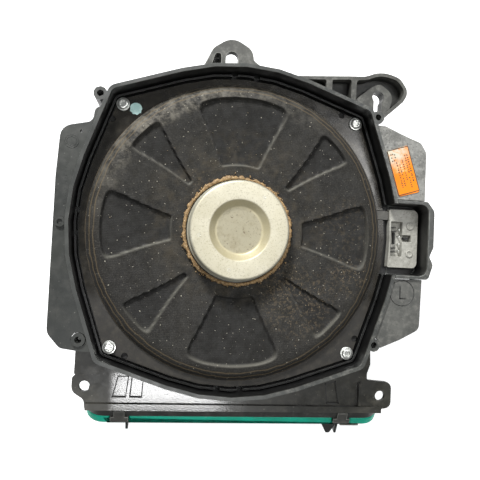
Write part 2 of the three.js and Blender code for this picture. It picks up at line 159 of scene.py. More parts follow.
# a turned shape: a circle carried along a line of (radius, height), in mm, to the axis if it ends there
def turnedPiece(name, line, sides, centre=(0, 0)):
    deselectAll()
    x, y = centre[0] * mm, centre[1] * mm
    radius, height = line[0]
    bpy.ops.mesh.primitive_circle_add(
        vertices=sides, radius=radius * mm, fill_type="NOTHING", location=(x, y, height * mm)
    )
    piece = bpy.context.active_object
    piece.name = name
    bpy.ops.object.mode_set(mode="EDIT")
    bpy.ops.mesh.select_all(action="SELECT")
    for nextRadius, nextHeight in line[1:]:
        rise = (nextHeight - height) * mm
        bpy.ops.mesh.extrude_region_move(TRANSFORM_OT_translate={"value": (0, 0, rise)})
        if nextRadius == 0:
            bpy.ops.mesh.merge(type="CENTER")
            break
        growth = nextRadius / radius
        bpy.ops.transform.resize(
            value=(growth, growth, 1), center_override=(x, y, nextHeight * mm)
        )
        radius, height = nextRadius, nextHeight
    mended(piece, mergeWithin["turnedPiece"])
    settle(piece)
    return piece


# a low straight bar, turned about its own middle
def bar(x, y, long, wide, bottom, top, turn=0.0):
    deselectAll()
    bpy.ops.mesh.primitive_cube_add(
        size=1, location=(x * mm, y * mm, (bottom + top) / 2 * mm),
        rotation=(0, 0, math.radians(turn)),
    )
    piece = bpy.context.active_object
    piece.scale = (long * mm, wide * mm, (top - bottom) * mm)
    settle(piece)
    return piece


# camera and light

view = {  # place in mm, turn in degrees
    "place": (-44.3, -21.1, 430.9),
    "turn": (1.95, -7.42, 2.8),
    "lens": 37.5,
}

lamps = {  # places and sizes in metres, power in watts
    "keyLamp": {"place": (-0.36, 0.95, 0.82), "aim": (0, 0, 0.06), "size": (0.26, 0.26), "power": 27.0},
    "overheadLamp": {"place": (0.09, 0.043, 0.85), "aim": (0, 0, 0.06), "size": (0.24, 0.24), "power": 0.45},
    "rightLamp": {"place": (0.35, 0.17, 0.80), "aim": (0.10, 0.03, 0.06), "size": (0.16, 0.42), "power": 1.7},
    "frontLamp": {
        "place": (-0.045, -0.31, 0.80), "aim": (-0.04, -0.118, 0.056), "size": (0.24, 0.07), "power": 1.5,
    },
}

studio = {"air": (0.95, 0.98, 1.0), "airLight": 0.20}

bpy.ops.object.camera_add(
    location=[v * mm for v in view["place"]], rotation=[math.radians(v) for v in view["turn"]]
)
camera = bpy.context.active_object
camera.data.lens = view["lens"]
camera.data.clip_start = 0.01
bpy.context.scene.camera = camera

for name, lamp in lamps.items():
    bpy.ops.object.light_add(type="AREA", location=lamp["place"])
    light = bpy.context.active_object
    light.name = name
    light.data.shape = "RECTANGLE"
    light.data.size, light.data.size_y = lamp["size"]
    light.data.energy = lamp["power"]
    towards = Vector(lamp["aim"]) - Vector(lamp["place"])
    light.rotation_euler = towards.to_track_quat("-Z", "Y").to_euler()

world = bpy.data.worlds.new("studio")
world.use_nodes = True
air = world.node_tree.nodes["Background"]
air.inputs["Color"].default_value = (*studio["air"], 1)
air.inputs["Strength"].default_value = studio["airLight"]
bpy.context.scene.world = world
bpy.context.scene.view_settings.view_transform = "Standard"
print("camera and light are set")


# finishes

def started(name):
    material = bpy.data.materials.new(name)
    material.use_nodes = True
    tree = material.node_tree
    tree.nodes.clear()
    out = tree.nodes.new("ShaderNodeOutputMaterial")
    shader = tree.nodes.new("ShaderNodeBsdfPrincipled")
    tree.links.new(shader.outputs["BSDF"], out.inputs["Surface"])
    return material, tree, shader


def place(tree):
    found = tree.nodes.get("place")
    if found is None:
        found = tree.nodes.new("ShaderNodeTexCoord")
        found.name = "place"
    return found.outputs["Object"]


# cloudy patches; size in mm
def mottle(tree, size, detail, sharp):
    texture = tree.nodes.new("ShaderNodeTexNoise")
    texture.inputs["Scale"].default_value = 1 / (size * mm)
    texture.inputs["Detail"].default_value = detail
    texture.inputs["Roughness"].default_value = sharp
    tree.links.new(place(tree), texture.inputs["Vector"])
    return texture.outputs["Fac"]


def between(tree, value, low, high, toLow=0.0, toHigh=1.0):
    ramp = tree.nodes.new("ShaderNodeMapRange")
    ramp.interpolation_type = "SMOOTHSTEP"
    limits = {"From Min": low, "From Max": high, "To Min": toLow, "To Max": toHigh}
    for key, amount in limits.items():
        ramp.inputs[key].default_value = amount
    tree.links.new(value, ramp.inputs["Value"])
    return ramp.outputs["Result"]


def times(tree, first, second):
    step = tree.nodes.new("ShaderNodeMath")
    step.operation = "MULTIPLY"
    for socket, value in zip(step.inputs, (first, second)):
        if isinstance(value, (int, float)):
            socket.default_value = value
        else:
            tree.links.new(value, socket)
    return step.outputs["Value"]


def plus(tree, first, second):
    step = tree.nodes.new("ShaderNodeMath")
    step.operation = "ADD"
    tree.links.new(first, step.inputs[0])
    tree.links.new(second, step.inputs[1])
    return step.outputs["Value"]


def blended(tree, amount, first, second):
    mix = tree.nodes.new("ShaderNodeMix")
    mix.data_type = "RGBA"
    for key, value in (("A", first), ("B", second)):
        socket = [s for s in mix.inputs if s.name == key and s.type == "RGBA"][0]
        if isinstance(value, tuple):
            socket.default_value = (*value, 1)
        else:
            tree.links.new(value, socket)
    tree.links.new(amount, mix.inputs["Factor"])
    return [s for s in mix.outputs if s.type == "RGBA"][0]


# 1 near a point and 0 past the reach, in mm; the height doesn't count
def near(tree, point, reach, soft):
    mapping = tree.nodes.new("ShaderNodeMapping")
    mapping.inputs["Location"].default_value = (-point[0] * mm, -point[1] * mm, 0)
    mapping.inputs["Scale"].default_value = (1, 1, 0)
    tree.links.new(place(tree), mapping.inputs["Vector"])
    length = tree.nodes.new("ShaderNodeVectorMath")
    length.operation = "LENGTH"
    tree.links.new(mapping.outputs["Vector"], length.inputs[0])
    return between(tree, length.outputs["Value"], (reach - soft) * mm, (reach + soft) * mm, 1.0, 0.0)


# grows from 0 to 1 between two places on an axis, in mm
def along(tree, axis, low, high):
    split = tree.nodes.new("ShaderNodeSeparateXYZ")
    tree.links.new(place(tree), split.inputs["Vector"])
    return between(tree, split.outputs[axis], low * mm, high * mm)


def roughen(tree, shader, height, depth, strength):
    bump = tree.nodes.new("ShaderNodeBump")
    bump.inputs["Distance"].default_value = depth * mm
    bump.inputs["Strength"].default_value = strength
    tree.links.new(height, bump.inputs["Height"])
    tree.links.new(bump.outputs["Normal"], shader.inputs["Normal"])


# the roughness of a part of the surface
def glossThere(tree, gloss, where, rough):
    mix = tree.nodes.new("ShaderNodeMix")
    tree.links.new(where, mix.inputs["Factor"])
    tree.links.new(gloss, mix.inputs["A"])
    mix.inputs["B"].default_value = rough
    return mix.outputs["Result"]


# what a finish has unless its own dictionary says otherwise; sizes and depths in mm
usual = {
    "patch": 30, "patchNoise": (4, 0.6), "patchBand": (0.35, 0.65),
    "dustSize": 12, "dustNoise": (5, 0.7), "dustBand": (0.45, 0.75), "dustAmount": 0.5,
    "speckSize": 1.2, "speckNoise": (1, 0.4), "speckFrom": 0.6, "speckSoft": 0.1, "speckAmount": 0.6,
    "glossSize": 9, "glossNoise": (4, 0.6), "glossBand": (0.3, 0.7),
    "grain": 0.7, "grainNoise": (3, 0.6), "grainDepth": 0.05, "grainForce": 0.6,
    "metal": 0.0, "shine": 0.5,
}


# two tones, dust, specks, uneven gloss and a grain
def finish(name, own):
    s = {**usual, **own}
    material, tree, shader = started(name)
    patches = between(tree, mottle(tree, s["patch"], *s["patchNoise"]), *s["patchBand"])
    colour = blended(tree, patches, s["tone"], s["tone2"])
    if "dust" in s:
        dusty = between(tree, mottle(tree, s["dustSize"], *s["dustNoise"]), *s["dustBand"])
        amount = times(tree, dusty, s["dustAmount"])
        # a mask limits the dust; on the rim it also paints the sheen of its right side
        if "dustAndSheenWhere" in s:
            amount = times(tree, amount, s["dustAndSheenWhere"](tree))
        colour = blended(tree, amount, colour, s["dust"])
    if "speck" in s:
        low, high = s["speckFrom"], s["speckFrom"] + s["speckSoft"]
        specks = between(tree, mottle(tree, s["speckSize"], *s["speckNoise"]), low, high)
        colour = blended(tree, times(tree, specks, s["speckAmount"]), colour, s["speck"])
    if "extra" in s:
        colour = s["extra"](tree, colour)
    tree.links.new(colour, shader.inputs["Base Color"])
    gloss = between(tree, mottle(tree, s["glossSize"], *s["glossNoise"]), *s["glossBand"], *s["rough"])
    if "glossWhere" in s:
        gloss = s["glossWhere"](tree, gloss)
    tree.links.new(gloss, shader.inputs["Roughness"])
    shader.inputs["Metallic"].default_value = s["metal"]
    shader.inputs["Specular IOR Level"].default_value = s["shine"]
    roughen(tree, shader, mottle(tree, s["grain"], *s["grainNoise"]), s["grainDepth"], s["grainForce"])
    return material


# where a moulding or the steel changes, in mm, and what it changes to
changes = {
    # painted shade: the rim's walls below its top go near black
    "rimPaintedShade": {"down": (81.2, 79.5), "tone": (0.004, 0.004, 0.004)},
    # dust that grows towards the right, partly a painted sheen on the rim's right side
    "rimDustAndSheen": {"right": (-40, 105)},
    # painted shade: the bracket's pocket floors go dark below 66 mm
    "bracketPaintedShade": {"down": (66, 63), "amount": 0.85, "tone": (0.006, 0.006, 0.005)},
    "steelDull": {"front": (-40, -80), "rough": 0.66},
    "deckWet": {"front": (-104, -108), "fromRight": (26, -6), "fromLeft": (-88, -82), "rough": 0.07},
}


# painted shade: darkens the rim's walls below its top to near black
def rimPaintedShade(tree, colour):
    c = changes["rimPaintedShade"]
    return blended(tree, along(tree, "Z", *c["down"]), colour, c["tone"])


# dust that grows towards the right, partly a painted sheen on the rim's right side
def rimDustAndSheen(tree):
    return along(tree, "X", *changes["rimDustAndSheen"]["right"])


# painted shade: darkens the bracket's pocket floors below 66 mm
def bracketPaintedShade(tree, colour):
    c = changes["bracketPaintedShade"]
    return blended(tree, times(tree, along(tree, "Z", *c["down"]), c["amount"]), colour, c["tone"])


def steelGloss(tree, gloss):
    c = changes["steelDull"]
    return glossThere(tree, gloss, along(tree, "Y", *c["front"]), c["rough"])


def apronGloss(tree, gloss):
    c = changes["deckWet"]
    middle = times(tree, along(tree, "X", *c["fromRight"]), along(tree, "X", *c["fromLeft"]))
    wet = times(tree, along(tree, "Y", *c["front"]), middle)
    return glossThere(tree, gloss, wet, c["rough"])


finishes = {
    "wingPlastic": {
        "tone": (0.021, 0.023, 0.021), "tone2": (0.030, 0.032, 0.028), "patch": 45,
        "dust": (0.13, 0.125, 0.11), "dustSize": 9, "dustAmount": 0.16, "speck": (0.30, 0.29, 0.26),
        "speckSize": 1.6, "speckFrom": 0.72, "speckAmount": 0.35, "rough": (0.40, 0.56), "grain": 0.9,
    },
    "rimPlastic": {
        "tone": (0.034, 0.036, 0.034), "tone2": (0.052, 0.054, 0.050), "patch": 35,
        "dust": (0.22, 0.215, 0.19), "dustSize": 5, "dustAmount": 0.65, "speck": (0.35, 0.34, 0.30),
        "speckSize": 1.4, "speckFrom": 0.74, "speckAmount": 0.3, "rough": (0.30, 0.48), "grain": 0.8,
        "grainDepth": 0.04, "extra": rimPaintedShade, "dustAndSheenWhere": rimDustAndSheen,
    },
    "rightPlastic": {
        "tone": (0.10, 0.10, 0.09), "tone2": (0.21, 0.21, 0.195), "patch": 14, "dust": (0.36, 0.35, 0.32),
        "dustSize": 3.2, "dustAmount": 0.65, "speck": (0.045, 0.045, 0.040), "speckSize": 1.3,
        "rough": (0.36, 0.52), "grain": 1.1, "grainDepth": 0.10,
    },
    "lowerPlastic": {
        "tone": (0.060, 0.061, 0.056), "tone2": (0.098, 0.098, 0.089), "patch": 16,
        "dust": (0.19, 0.185, 0.165), "dustSize": 4, "dustAmount": 0.45, "speck": (0.05, 0.05, 0.045),
        "speckSize": 1.3, "speckFrom": 0.62, "speckAmount": 0.4, "rough": (0.38, 0.55), "grain": 1.1,
        "grainDepth": 0.10,
    },
    "bracketPlastic": {
        "tone": (0.042, 0.042, 0.037), "tone2": (0.075, 0.075, 0.066), "patch": 20,
        "dust": (0.22, 0.215, 0.195), "dustSize": 5, "dustAmount": 0.4, "speck": (0.05, 0.05, 0.045),
        "speckSize": 1.4, "speckFrom": 0.66, "speckAmount": 0.35, "rough": (0.40, 0.55), "grain": 1.0,
        "grainDepth": 0.08, "extra": bracketPaintedShade,
    },
    "apronPlastic": {
        "tone": (0.018, 0.018, 0.014), "tone2": (0.032, 0.031, 0.025), "patch": 26,
        "dust": (0.13, 0.12, 0.095), "dustSize": 8, "dustAmount": 0.35, "speck": (0.34, 0.33, 0.28),
        "speckSize": 1.5, "speckFrom": 0.72, "speckAmount": 0.35, "rough": (0.30, 0.46), "grain": 0.9,
        "glossWhere": apronGloss,
    },
    "shellPlastic": {
        "tone": (0.014, 0.015, 0.014), "tone2": (0.022, 0.023, 0.021), "patch": 40,
        "dust": (0.15, 0.14, 0.12), "dustSize": 14, "dustAmount": 0.2, "speck": (0.20, 0.19, 0.17),
        "speckSize": 1.5, "speckFrom": 0.75, "speckAmount": 0.3, "rough": (0.42, 0.60), "grain": 1.0,
        "grainDepth": 0.08,
    },
    # edge wear with a painted highlight: the lighter finish on bevelled edges
    "wornEdgeHighlight": {
        "tone": (0.13, 0.135, 0.125), "tone2": (0.060, 0.062, 0.058), "patch": 6, "rough": (0.30, 0.45),
        "grain": 0.8, "grainDepth": 0.04,
    },
    # edge wear with a painted highlight, paler, for the lighter mouldings
    "paleEdgeHighlight": {
        "tone": (0.22, 0.22, 0.20), "tone2": (0.12, 0.12, 0.11), "patch": 6, "rough": (0.32, 0.45),
        "grain": 0.8, "grainDepth": 0.04,
    },
    "panelPlastic": {
        "tone": (0.33, 0.325, 0.29), "tone2": (0.24, 0.235, 0.205), "patch": 10, "dust": (0.48, 0.47, 0.42),
        "dustSize": 2.4, "dustAmount": 0.6, "speck": (0.12, 0.115, 0.10), "speckSize": 1.3,
        "speckAmount": 0.4, "rough": (0.42, 0.56), "grain": 1.0, "grainDepth": 0.08,
    },
    "stripPlastic": {
        "tone": (0.035, 0.034, 0.030), "tone2": (0.06, 0.058, 0.05), "patch": 7, "dust": (0.16, 0.15, 0.13),
        "dustSize": 2.5, "rough": (0.4, 0.55), "grain": 0.8,
    },
    "socketBlack": {
        "tone": (0.006, 0.006, 0.006), "tone2": (0.012, 0.012, 0.011), "rough": (0.5, 0.6), "grain": 0.8,
    },
    "paintedSteel": {
        "tone": (0.010, 0.0085, 0.006), "tone2": (0.020, 0.017, 0.012), "patch": 16,
        "dust": (0.08, 0.07, 0.05), "dustSize": 5, "dustAmount": 0.3, "speck": (0.34, 0.31, 0.24),
        "speckSize": 1.0, "speckFrom": 0.76, "speckAmount": 0.5, "rough": (0.20, 0.30), "metal": 0.35,
        "shine": 0.9, "glossWhere": steelGloss, "grain": 1.4, "grainDepth": 0.015,
    },
    "ductPlastic": {
        "tone": (0.020, 0.021, 0.019), "tone2": (0.032, 0.032, 0.028), "patch": 22,
        "dust": (0.13, 0.125, 0.11), "dustSize": 7, "dustAmount": 0.35, "rough": (0.36, 0.5), "grain": 0.9,
    },
    "clipPlastic": {
        "tone": (0.045, 0.045, 0.040), "tone2": (0.075, 0.073, 0.064), "patch": 8, "rough": (0.36, 0.5),
        "grain": 0.8,
    },
    "pinPlastic": {
        "tone": (0.014, 0.014, 0.013), "tone2": (0.024, 0.024, 0.022), "rough": (0.35, 0.5), "grain": 0.8,
    },
    "zincScrew": {
        "tone": (0.70, 0.71, 0.68), "tone2": (0.52, 0.53, 0.50), "patch": 2.5, "speck": (0.30, 0.29, 0.25),
        "speckSize": 0.6, "speckFrom": 0.64, "rough": (0.25, 0.42), "metal": 0.9, "grain": 0.5,
        "grainDepth": 0.02,
    },
    "springSteel": {
        "tone": (0.42, 0.41, 0.37), "tone2": (0.25, 0.24, 0.21), "patch": 5, "rough": (0.3, 0.5),
        "metal": 0.8, "grain": 0.6, "grainDepth": 0.02,
    },
    "gapFoam": {
        "tone": (0.012, 0.012, 0.012), "tone2": (0.022, 0.021, 0.020), "patch": 2, "rough": (0.85, 0.98),
        "grain": 0.6, "grainDepth": 0.15,
    },
    "mintPaint": {
        "tone": (0.42, 0.66, 0.63), "tone2": (0.55, 0.76, 0.73), "patch": 2.5, "speck": (0.20, 0.34, 0.32),
        "speckSize": 0.8, "speckFrom": 0.68, "rough": (0.4, 0.6), "grain": 1.2, "grainDepth": 0.12,
    },
    "printInk": {
        "tone": (0.045, 0.026, 0.010), "tone2": (0.08, 0.045, 0.018), "patch": 2, "rough": (0.5, 0.6),
        "grain": 0.6, "grainDepth": 0.01,
    },
    "glueBrown": {
        "tone": (0.17, 0.095, 0.036), "tone2": (0.36, 0.235, 0.105), "patch": 1.6,
        "dust": (0.022, 0.016, 0.010), "dustSize": 1.1, "dustAmount": 0.85, "speck": (0.72, 0.58, 0.36),
        "speckSize": 0.7, "speckFrom": 0.62, "rough": (0.55, 0.8), "grain": 0.6, "grainDepth": 0.35,
    },
    "gritTan": {
        "tone": (0.20, 0.15, 0.085), "tone2": (0.32, 0.25, 0.15), "patch": 2.0, "rough": (0.7, 0.9),
        "grain": 0.4, "grainDepth": 0.2,
    },
    "conePaper": {
        "tone": (0.020, 0.020, 0.019), "tone2": (0.032, 0.031, 0.029), "patch": 5, "rough": (0.75, 0.9),
        "grain": 0.5, "grainDepth": 0.12,
    },
    "rollRubber": {
        "tone": (0.012, 0.012, 0.012), "tone2": (0.020, 0.020, 0.019), "patch": 9, "rough": (0.45, 0.6),
    },
    "spiderCloth": {
        "tone": (0.42, 0.27, 0.11), "tone2": (0.52, 0.35, 0.16), "patch": 4, "rough": (0.8, 0.95),
        "grain": 0.5, "grainDepth": 0.2,
    },
    "formerFoil": {
        "tone": (0.62, 0.63, 0.64), "tone2": (0.52, 0.53, 0.54), "patch": 4, "rough": (0.3, 0.45),
        "metal": 0.95, "grain": 0.6, "grainDepth": 0.02,
    },
    "copperWire": {
        "tone": (0.62, 0.26, 0.12), "tone2": (0.50, 0.20, 0.09), "patch": 3, "rough": (0.3, 0.45),
        "metal": 0.95, "grain": 0.35, "grainDepth": 0.08,
    },
    "motorSteel": {
        "tone": (0.50, 0.50, 0.48), "tone2": (0.38, 0.38, 0.37), "patch": 6, "rough": (0.3, 0.45),
        "metal": 0.9, "grain": 0.6, "grainDepth": 0.02,
    },
    "leadRed": {
        "tone": (0.45, 0.02, 0.02), "tone2": (0.36, 0.018, 0.018), "rough": (0.35, 0.5), "grain": 0.5,
        "grainDepth": 0.02,
    },
    "leadBlack": {
        "tone": (0.014, 0.014, 0.014), "tone2": (0.02, 0.02, 0.02), "rough": (0.35, 0.5), "grain": 0.5,
        "grainDepth": 0.02,
    },
}
look = {name: finish(name, s) for name, s in finishes.items()}


def sealFinish():
    shade = {"at": (89, -130), "reach": 22, "soft": 12, "amount": 0.35, "tone": (0.012, 0.15, 0.10)}
    scuff = {"size": 2.2, "amount": 0.35, "tone": (0.30, 0.62, 0.50)}

    def shadowed(tree, colour):
        byClip = near(tree, shade["at"], shade["reach"], shade["soft"])
        colour = blended(tree, times(tree, byClip, shade["amount"]), colour, shade["tone"])
        scuffs = between(tree, mottle(tree, scuff["size"], 3, 0.7), 0.66, 0.74)
        return blended(tree, times(tree, scuffs, scuff["amount"]), colour, scuff["tone"])

    return finish("sealGreen", {
        "tone": (0.006, 0.50, 0.33), "tone2": (0.004, 0.40, 0.26), "patch": 24, "dust": (0.05, 0.20, 0.14),
        "dustSize": 6, "dustAmount": 0.3, "rough": (0.40, 0.52), "shine": 0.28, "grain": 1.2,
        "grainDepth": 0.03, "extra": shadowed,
    })


def labelFinish():
    corner = {"at": (110.5, 66), "reach": 11, "soft": 9, "amount": 1.25, "tone": (0.55, 0.52, 0.41)}
    scrape = {"at": (118.5, 53), "reach": 3.6, "soft": 3, "amount": 0.8, "tone": (0.80, 0.62, 0.36)}

    def faded(tree, colour):
        pale = near(tree, corner["at"], corner["reach"], corner["soft"])
        torn = between(tree, mottle(tree, 5, 4, 0.7), 0.25, 0.60)
        pale = times(tree, times(tree, pale, torn), corner["amount"])
        colour = blended(tree, pale, colour, corner["tone"])
        worn = near(tree, scrape["at"], scrape["reach"], scrape["soft"])
        worn = times(tree, worn, between(tree, mottle(tree, 2.6, 3, 0.7), 0.45, 0.6))
        return blended(tree, times(tree, worn, scrape["amount"]), colour, scrape["tone"])

    return finish("labelOrange", {
        "tone": (0.74, 0.185, 0.002), "tone2": (0.80, 0.22, 0.004), "patch": 14, "speck": (0.55, 0.28, 0.08),
        "speckSize": 1.1, "speckFrom": 0.68, "speckAmount": 0.3, "rough": (0.42, 0.58), "shine": 0.25,
        "grain": 1.0, "grainDepth": 0.01, "extra": faded,
    })


# the cup's zones: radius and softness in mm, colour and how much of it
cupZones = {
    "bevel": {"radius": 21.6, "soft": 0.6, "tone": (0.42, 0.37, 0.22), "amount": 0.75},
    "floor": {"radius": 16.2, "soft": 0.8, "tone": (0.31, 0.285, 0.20), "amount": 1.0},
    "stain": {"size": 4.5, "tone": (0.21, 0.175, 0.10), "amount": 0.55},
    "rust": {"size": 1.7, "tone": (0.085, 0.048, 0.024), "amount": 0.85},
    "side": {"radius": 34.7, "soft": 0.35, "tone": (0.36, 0.36, 0.30), "amount": 0.55},
}


def cupFinish():
    def within(tree, zone):
        return near(tree, (0, 0), zone["radius"], zone["soft"])

    def laid(tree, colour, where, zone):
        return blended(tree, times(tree, where, zone["amount"]), colour, zone["tone"])

    def worn(tree, colour):
        bevel, floor, stain, rust, side = cupZones.values()
        uneven = between(tree, mottle(tree, 7, 3, 0.6), 0.1, 0.6, 0.6, 1.0)
        colour = laid(tree, colour, times(tree, within(tree, bevel), uneven), bevel)
        onFloor = within(tree, floor)
        colour = laid(tree, colour, onFloor, floor)
        stained = between(tree, mottle(tree, stain["size"], 4, 0.65), 0.46, 0.72)
        colour = laid(tree, colour, times(tree, onFloor, stained), stain)
        rusty = between(tree, mottle(tree, rust["size"], 4, 0.75), 0.58, 0.68)
        colour = laid(tree, colour, times(tree, onFloor, rusty), rust)
        outside = between(tree, within(tree, side), 0.0, 1.0, 1.0, 0.0)
        return laid(tree, colour, outside, side)

    return finish("cupZinc", {
        "tone": (0.47, 0.44, 0.33), "tone2": (0.55, 0.52, 0.41), "patch": 18, "dust": (0.44, 0.40, 0.28),
        "dustSize": 2.2, "dustAmount": 0.45, "speck": (0.30, 0.27, 0.19), "speckSize": 0.9, "speckFrom": 0.58,
        "speckAmount": 0.55, "rough": (0.44, 0.56), "metal": 0.35, "grain": 0.9, "grainDepth": 0.03,
        "extra": worn,
    })


# the cloth's layers: colour and how much of it
clothLayers = {
    "threads": ((0.042, 0.039, 0.032), 0.5),
    "windows": ((0.0040, 0.0039, 0.0034), 0.62),
    # painted highlight on the window edges that face the light
    "paintedEdgeHighlight": ((0.13, 0.125, 0.105), 0.9),
    # lint, partly a painted highlight on the lit back-left shoulder
    "lintAndHighlight": ((0.15, 0.138, 0.112), 0.85),
    "glueStain": ((0.095, 0.075, 0.045), 0.25),
    "flecks": ((0.34, 0.32, 0.26), 0.75),
    "mud": ((0.12, 0.09, 0.052), 0.45),
    "glueRings": ((0.13, 0.095, 0.05), 0.5),
}
clothWear = {
    "tone": (0.0080, 0.0075, 0.0062), "tone2": (0.013, 0.012, 0.0097), "shoulder": 92, "glued": 101,
    "mud": (  # place, reach and force
        ((47, -50), 25, 1.0), ((84, -30), 14, 1.0), ((30, -32), 16, 0.9),
        ((62, 92), 9, 0.5), ((-28, 34), 12, 0.5), ((78, 8), 22, 0.45),
    ),
    "lintAndHighlightInWindow": 0.15, "rough": (0.62, 0.86), "shine": 0.35, "sheen": 0.06, "sheenRough": 0.45,
    "ringScale": 100, "weaveScale": 260, "weaveDepth": 0.22,
}


def clothFinish():
    c = clothWear
    material, tree, shader = started("scrimBlack")

    def laid(colour, where, layer):
        tone, amount = clothLayers[layer]
        return blended(tree, times(tree, where, amount), colour, tone)

    def written(attribute):
        reader = tree.nodes.new("ShaderNodeAttribute")
        reader.attribute_name = attribute
        return reader.outputs["Fac"]

    patches = between(tree, mottle(tree, 26, 4, 0.6), 0.35, 0.65)
    colour = blended(tree, patches, c["tone"], c["tone2"])
    colour = laid(colour, between(tree, mottle(tree, 0.95, 2, 0.6), 0.42, 0.72), "threads")
    inWindow = written("sunken")
    colour = laid(colour, inWindow, "windows")
    # painted highlight on the window edges that face the light
    colour = laid(colour, written("litEdge"), "paintedEdgeHighlight")
    # lint lies on the shoulder, mostly at the back left, where it also paints the highlight of the side
    # facing the light
    backLeft = times(tree, along(tree, "Y", -20, 95), along(tree, "X", 95, -60))
    shoulder = between(tree, near(tree, (0, 0), c["shoulder"], 6), 0, 1, 1.0, 0.0)
    lintAndHighlight = times(tree, between(tree, mottle(tree, 7, 5, 0.75), 0.36, 0.66), times(tree, backLeft, shoulder))
    lintAndHighlight = times(tree, lintAndHighlight, between(tree, inWindow, 0.0, 1.0, 1.0, c["lintAndHighlightInWindow"]))
    colour = laid(colour, lintAndHighlight, "lintAndHighlight")
    stain = times(tree, near(tree, (-2, 10), 62, 14), between(tree, mottle(tree, 11, 4, 0.7), 0.4, 0.7))
    colour = laid(colour, stain, "glueStain")
    colour = laid(colour, between(tree, mottle(tree, 1.5, 1, 0.4), 0.735, 0.78), "flecks")
    for point, reach, force in c["mud"]:
        mud = times(tree, near(tree, point, reach, 8), between(tree, mottle(tree, 2.4, 4, 0.75), 0.50, 0.64))
        colour = laid(colour, times(tree, mud, force), "mud")
    ringed = tree.nodes.new("ShaderNodeTexWave")
    ringed.wave_type = "RINGS"
    ringed.rings_direction = "Z"
    ringed.inputs["Scale"].default_value = c["ringScale"]
    ringed.inputs["Distortion"].default_value = 3.0
    tree.links.new(place(tree), ringed.inputs["Vector"])
    gluedBand = between(tree, near(tree, (0, 0), c["glued"], 2.5), 0, 1, 1.0, 0.0)
    rings = times(tree, gluedBand, between(tree, ringed.outputs["Fac"], 0.72, 0.98))
    colour = laid(colour, rings, "glueRings")
    tree.links.new(colour, shader.inputs["Base Color"])
    gloss = between(tree, mottle(tree, 6, 3, 0.6), 0.3, 0.7, *c["rough"])
    tree.links.new(gloss, shader.inputs["Roughness"])
    shader.inputs["Specular IOR Level"].default_value = c["shine"]
    shader.inputs["Sheen Weight"].default_value = c["sheen"]
    shader.inputs["Sheen Roughness"].default_value = c["sheenRough"]
    weaves = []
    for direction in ("X", "Y"):
        weave = tree.nodes.new("ShaderNodeTexWave")
        weave.bands_direction = direction
        weave.inputs["Scale"].default_value = c["weaveScale"]
        weave.inputs["Distortion"].default_value = 0.6
        tree.links.new(place(tree), weave.inputs["Vector"])
        weaves.append(weave.outputs["Fac"])
    woven = plus(tree, times(tree, weaves[0], 0.5), times(tree, weaves[1], 0.5))
    fibres = plus(tree, times(tree, woven, 0.5), mottle(tree, 1.0, 3, 0.7))
    roughen(tree, shader, fibres, c["weaveDepth"], 0.7)
    return material


look["sealGreen"] = sealFinish()
look["labelOrange"] = labelFinish()
look["cupZinc"] = cupFinish()
look["scrimBlack"] = clothFinish()
print("finishes made:", len(look))


# mouldings: edges rounded, worn a little along them and given a painted highlight

mouldings = {  # edges are rounded in mm; their bevels get the lighter edge finish, wear with a painted highlight, unless another finish is given
    "front_frame": {"name": "rimMoulding", "edge": 0.42, "finish": "rimPlastic"},
    "left_wing": {"name": "leftWingMoulding", "edge": 0.5, "finish": "wingPlastic"},
    "right_upper_plate": {
        "name": "rightUpperMoulding", "edge": 0.6, "finish": "rightPlastic", "worn": "paleEdgeHighlight",
    },
    "right_lower_plate": {"name": "rightLowerMoulding", "edge": 0.6, "finish": "lowerPlastic"},
    "connector_bay": {"name": "bayMoulding", "edge": 0.6, "finish": "rimPlastic"},
    "top_lug": {"name": "topLugMoulding", "edge": 0.55, "finish": "bracketPlastic", "worn": "paleEdgeHighlight"},
    "corner_bracket": {"name": "cornerBracketMoulding", "edge": 0.45, "finish": "bracketPlastic"},
    "apron": {"name": "apronMoulding", "edge": 0.35, "finish": "apronPlastic"},
    "rear_shell": {
        "name": "rearShellMoulding", "edge": 0.6, "finish": "shellPlastic", "worn": "shellPlastic",
    },
    "port_duct": {"name": "portDuctMoulding", "edge": 0.5, "finish": "ductPlastic"},
    "seal_clip_1": {"name": "sealClipLeft", "edge": 0.5, "finish": "clipPlastic", "worn": "paleEdgeHighlight"},
    "seal_clip_2": {"name": "sealClipRight", "edge": 0.5, "finish": "clipPlastic", "worn": "paleEdgeHighlight"},
    "guide_pin_left": {"name": "guidePinLeft", "edge": 0.4, "finish": "pinPlastic", "worn": "pinPlastic"},
    "guide_pin_right": {"name": "guidePinRight", "edge": 0.4, "finish": "pinPlastic", "worn": "pinPlastic"},
    "guide_fin": {"name": "guideFinBlade", "edge": 0.5, "finish": "pinPlastic", "worn": "pinPlastic"},
}

for node, m in mouldings.items():
    # the bevels get edge wear with a painted highlight
    worn = m.get("worn", "wornEdgeHighlight")
    piece = softenedCopy(node, m["name"], m["edge"], 2, (look[m["finish"]], look[worn]))
    fit(piece, [node])
print("mouldings made:", len(mouldings))

plainCopies = {
    "connector_panel": {
        "name": "connectorPanelFace", "edge": 0.4, "finish": "panelPlastic", "slot": "panel_plastic",
    },
    "basket": {"name": "basketPressing", "edge": 0.25, "finish": "paintedSteel", "slot": "basket_steel"},
    "spring_plate": {"name": "springPlateBlade", "edge": 0.3, "finish": "springSteel", "slot": "screw_steel"},
}
for node, p in plainCopies.items():
    piece = softenedCopy(node, p["name"], p["edge"], 2, (look[p["finish"]],))
    fit(piece, [node])

sealEdge = {"round": 2.6, "steps": 5, "sharpest": 50, "smooth": 60}
seal = softenedCopy(
    "port_seal", "portSealRing", sealEdge["round"], sealEdge["steps"], (look["sealGreen"],),
    sealEdge["sharpest"],
)
smooth(seal, sealEdge["smooth"])
fit(seal, ["port_seal"])
print("seal, panel and basket made")


# acoustic cloth, stretched over the basket

